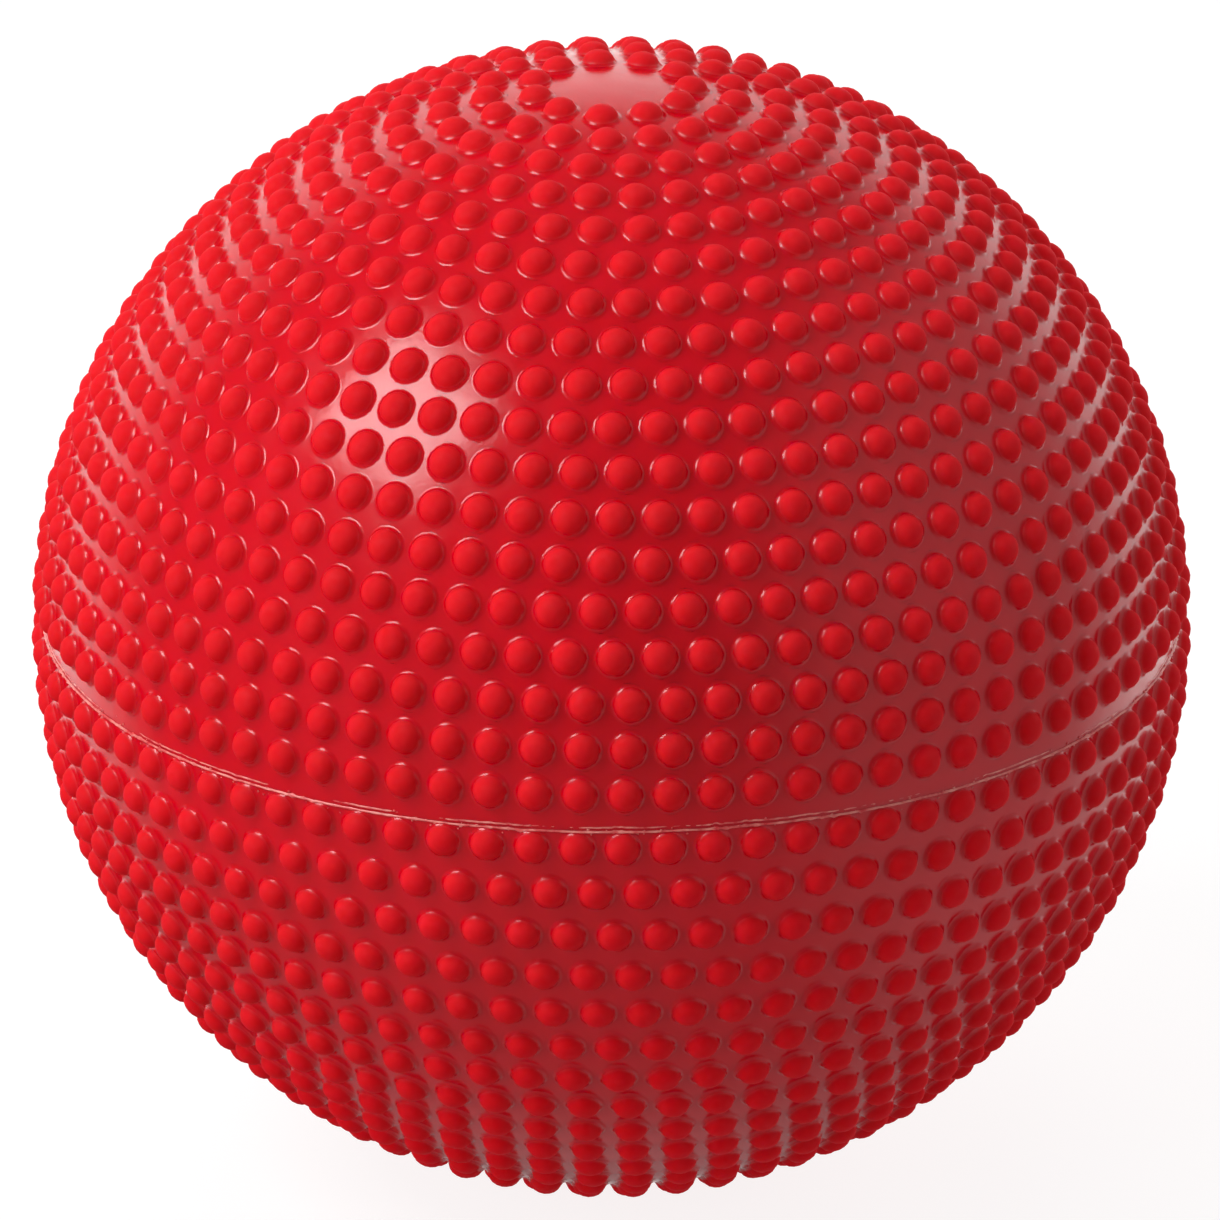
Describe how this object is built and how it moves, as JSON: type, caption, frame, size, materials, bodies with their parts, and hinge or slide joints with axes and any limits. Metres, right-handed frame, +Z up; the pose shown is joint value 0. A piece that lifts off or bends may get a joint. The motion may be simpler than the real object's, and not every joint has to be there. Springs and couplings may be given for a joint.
{
  "type": "nubbed playground ball",
  "caption": "Inflatable red rubber ball covered in rings of small round nubs, with a smooth disc at each pole, a thin raised seam round its middle and a needle valve underneath.",
  "frame": {"origin": "on the surface that the ball stands on, under its centre", "axes": "+Z up through the smooth top disc, -Z out of the valve, -Y the front that the picture shows, +X to the right seen from the front"},
  "size_m": [0.1598, 0.1598, 0.1584],
  "materials": {
    "shell_rubber": "gloss",
    "seam_cement": "satin",
    "housing_rubber": "satin",
    "core_rubber": "satin"
  },
  "bodies": {
    "root": {"upper_half_shell": "shell_rubber", "lower_half_shell": "shell_rubber", "seam_bead": "seam_cement", "valve_housing": "housing_rubber", "valve_core": "core_rubber"}
  },
  "joints": []
}
